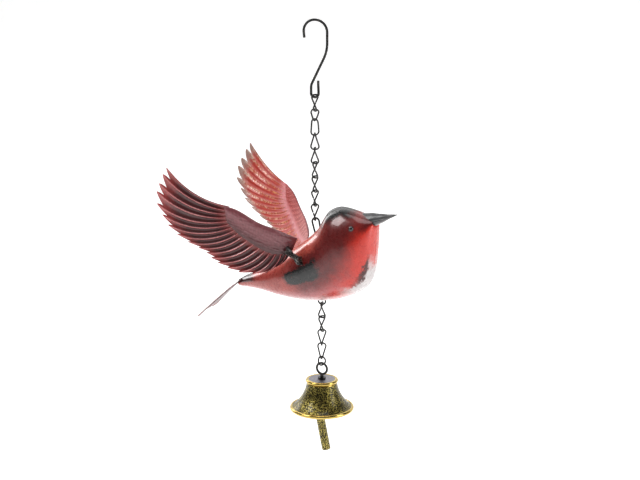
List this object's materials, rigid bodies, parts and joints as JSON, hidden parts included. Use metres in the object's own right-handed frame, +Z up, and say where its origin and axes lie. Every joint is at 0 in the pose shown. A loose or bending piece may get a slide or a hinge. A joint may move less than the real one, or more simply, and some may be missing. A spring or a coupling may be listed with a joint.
{
  "type": "hanging bird wind bell",
  "caption": "Hanging painted metal bird with sprung feathered wings, a twisted-link chain on a wire hook and a flared bell with a rod clapper below",
  "frame": {"origin": "inner top of the hanging hook, where it rests on a branch or nail", "axes": "+Z up along the plumb line, +X the way the bird faces, -Y the bird's right wing"},
  "size_m": [0.199, 0.1346, 0.3816],
  "materials": {
    "hook_wire": "black-oxide wire, satin",
    "chain_wire": "gunmetal plated wire",
    "body_paint": "glossy airbrushed red with dark crown and pale belly",
    "beak_paint": "dark grey gloss",
    "eye_paint": "black gloss",
    "tail_paint": "dark maroon satin",
    "wing_paint": "dusty red over dark grooves, brushed highlights",
    "spring_steel": "dark spring steel",
    "bell_metal": "antique gold hammertone paint",
    "bell_fitting": "dark plated steel",
    "clapper_metal": "antique gold hammertone paint"
  },
  "bodies": {
    "hook": {"hanging_hook": "hook_wire"},
    "upper_link_01": {"upper_link_01": "chain_wire"},
    "upper_link_02": {"upper_link_02": "chain_wire"},
    "upper_link_03": {"upper_link_03": "chain_wire"},
    "upper_link_04": {"upper_link_04": "chain_wire"},
    "upper_link_05": {"upper_link_05": "chain_wire"},
    "upper_link_06": {"upper_link_06": "chain_wire"},
    "upper_link_07": {"upper_link_07": "chain_wire"},
    "upper_link_08": {"upper_link_08": "chain_wire"},
    "upper_link_09": {"upper_link_09": "chain_wire"},
    "bird": {"back_loop": "chain_wire", "beak": "beak_paint", "belly_staple": "chain_wire", "body_left_shell": "body_paint", "body_right_shell": "body_paint", "left_body_peg": "spring_steel", "left_eye": "eye_paint", "left_wing_spring": "spring_steel", "right_body_peg": "spring_steel", "right_eye": "eye_paint", "right_wing_spring": "spring_steel", "tail_fan": "tail_paint"},
    "right_wing_body": {"right_wing": "wing_paint", "right_wing_peg": "spring_steel"},
    "left_wing_body": {"left_wing": "wing_paint", "left_wing_peg": "spring_steel"},
    "lower_link_01": {"lower_link_01": "chain_wire"},
    "lower_link_02": {"lower_link_02": "chain_wire"},
    "lower_link_03": {"lower_link_03": "chain_wire"},
    "lower_link_04": {"lower_link_04": "chain_wire"},
    "lower_link_05": {"lower_link_05": "chain_wire"},
    "bell": {"bell_eye": "bell_fitting", "bell_nut": "bell_fitting", "bell_shell": "bell_metal"},
    "clapper": {"clapper_wire": "bell_fitting", "clapper_rod": "clapper_metal"}
  },
  "joints": [
    {"name": "chain_swing_01", "type": "hinge", "parent": "hook", "child": "upper_link_01", "pos_m": [0, 0, -0.0638], "axis": [0.9659, 0.2588, 0], "range_deg": [-12, 12]},
    {"name": "chain_swing_02", "type": "hinge", "parent": "upper_link_01", "child": "upper_link_02", "pos_m": [0, 0, -0.0741], "axis": [0.9659, 0.2588, 0], "range_deg": [-12, 12]},
    {"name": "chain_swing_03", "type": "hinge", "parent": "upper_link_02", "child": "upper_link_03", "pos_m": [0, 0, -0.0838], "axis": [-0.2588, 0.9659, 0], "range_deg": [-12, 12]},
    {"name": "chain_swing_04", "type": "hinge", "parent": "upper_link_03", "child": "upper_link_04", "pos_m": [0, 0, -0.09465], "axis": [0.5, -0.866, 0], "range_deg": [-12, 12]},
    {"name": "chain_swing_05", "type": "hinge", "parent": "upper_link_04", "child": "upper_link_05", "pos_m": [0, 0, -0.1085], "axis": [0.866, 0.5, 0], "range_deg": [-12, 12]},
    {"name": "chain_swing_06", "type": "hinge", "parent": "upper_link_05", "child": "upper_link_06", "pos_m": [0, 0, -0.11935], "axis": [-0.1736, -0.9848, 0], "range_deg": [-12, 12]},
    {"name": "chain_swing_07", "type": "hinge", "parent": "upper_link_06", "child": "upper_link_07", "pos_m": [0, 0, -0.1332], "axis": [0.9848, -0.1736, 0], "range_deg": [-12, 12]},
    {"name": "chain_swing_08", "type": "hinge", "parent": "upper_link_07", "child": "upper_link_08", "pos_m": [0, 0, -0.14405], "axis": [-0.5736, -0.8192, 0], "range_deg": [-12, 12]},
    {"name": "chain_swing_09", "type": "hinge", "parent": "upper_link_08", "child": "upper_link_09", "pos_m": [0, 0, -0.1579], "axis": [0.8192, -0.5736, 0], "range_deg": [-12, 12]},
    {"name": "bird_swing", "type": "hinge", "parent": "upper_link_09", "child": "bird", "pos_m": [0, 0, -0.17025], "axis": [0.7071, -0.7071, 0], "range_deg": [-12, 12]},
    {"name": "right_wing_flap", "type": "hinge", "parent": "bird", "child": "right_wing_body", "pos_m": [-0.0104, -0.02044, -0.19833], "axis": [-1, 0, 0], "range_deg": [-16, 16], "stiffness_Nm_per_rad": 0.02, "springref_deg": 10.89, "deforming": ["right_wing_spring"]},
    {"name": "left_wing_flap", "type": "hinge", "parent": "bird", "child": "left_wing_body", "pos_m": [-0.0104, 0.02044, -0.19833], "axis": [1, 0, 0], "range_deg": [-16, 16], "stiffness_Nm_per_rad": 0.02, "springref_deg": 10.89, "deforming": ["left_wing_spring"]},
    {"name": "bell_chain_swing_01", "type": "hinge", "parent": "bird", "child": "lower_link_01", "pos_m": [0.00685, 0, -0.24452], "axis": [1, 0, 0], "range_deg": [-12, 12]},
    {"name": "bell_chain_swing_02", "type": "hinge", "parent": "lower_link_01", "child": "lower_link_02", "pos_m": [0.00685, 0, -0.25527], "axis": [0.5, 0.866, 0], "range_deg": [-12, 12]},
    {"name": "bell_chain_swing_03", "type": "hinge", "parent": "lower_link_02", "child": "lower_link_03", "pos_m": [0.00685, 0, -0.26917], "axis": [-0.866, 0.5, 0], "range_deg": [-12, 12]},
    {"name": "bell_chain_swing_04", "type": "hinge", "parent": "lower_link_03", "child": "lower_link_04", "pos_m": [0.00685, 0, -0.28007], "axis": [0.9397, 0.342, 0], "range_deg": [-12, 12]},
    {"name": "bell_chain_swing_05", "type": "hinge", "parent": "lower_link_04", "child": "lower_link_05", "pos_m": [0.00685, 0, -0.29397], "axis": [-0.342, 0.9397, 0], "range_deg": [-12, 12]},
    {"name": "bell_swing", "type": "hinge", "parent": "lower_link_05", "child": "bell", "pos_m": [0.00685, 0, -0.30037], "axis": [0.2588, 0.9659, 0], "range_deg": [-12, 12]},
    {"name": "clapper_swing", "type": "hinge", "parent": "bell", "child": "clapper", "pos_m": [0.00685, 0, -0.32272], "axis": [-0.5, 0.866, 0], "range_deg": [-30, 30]}
  ]
}
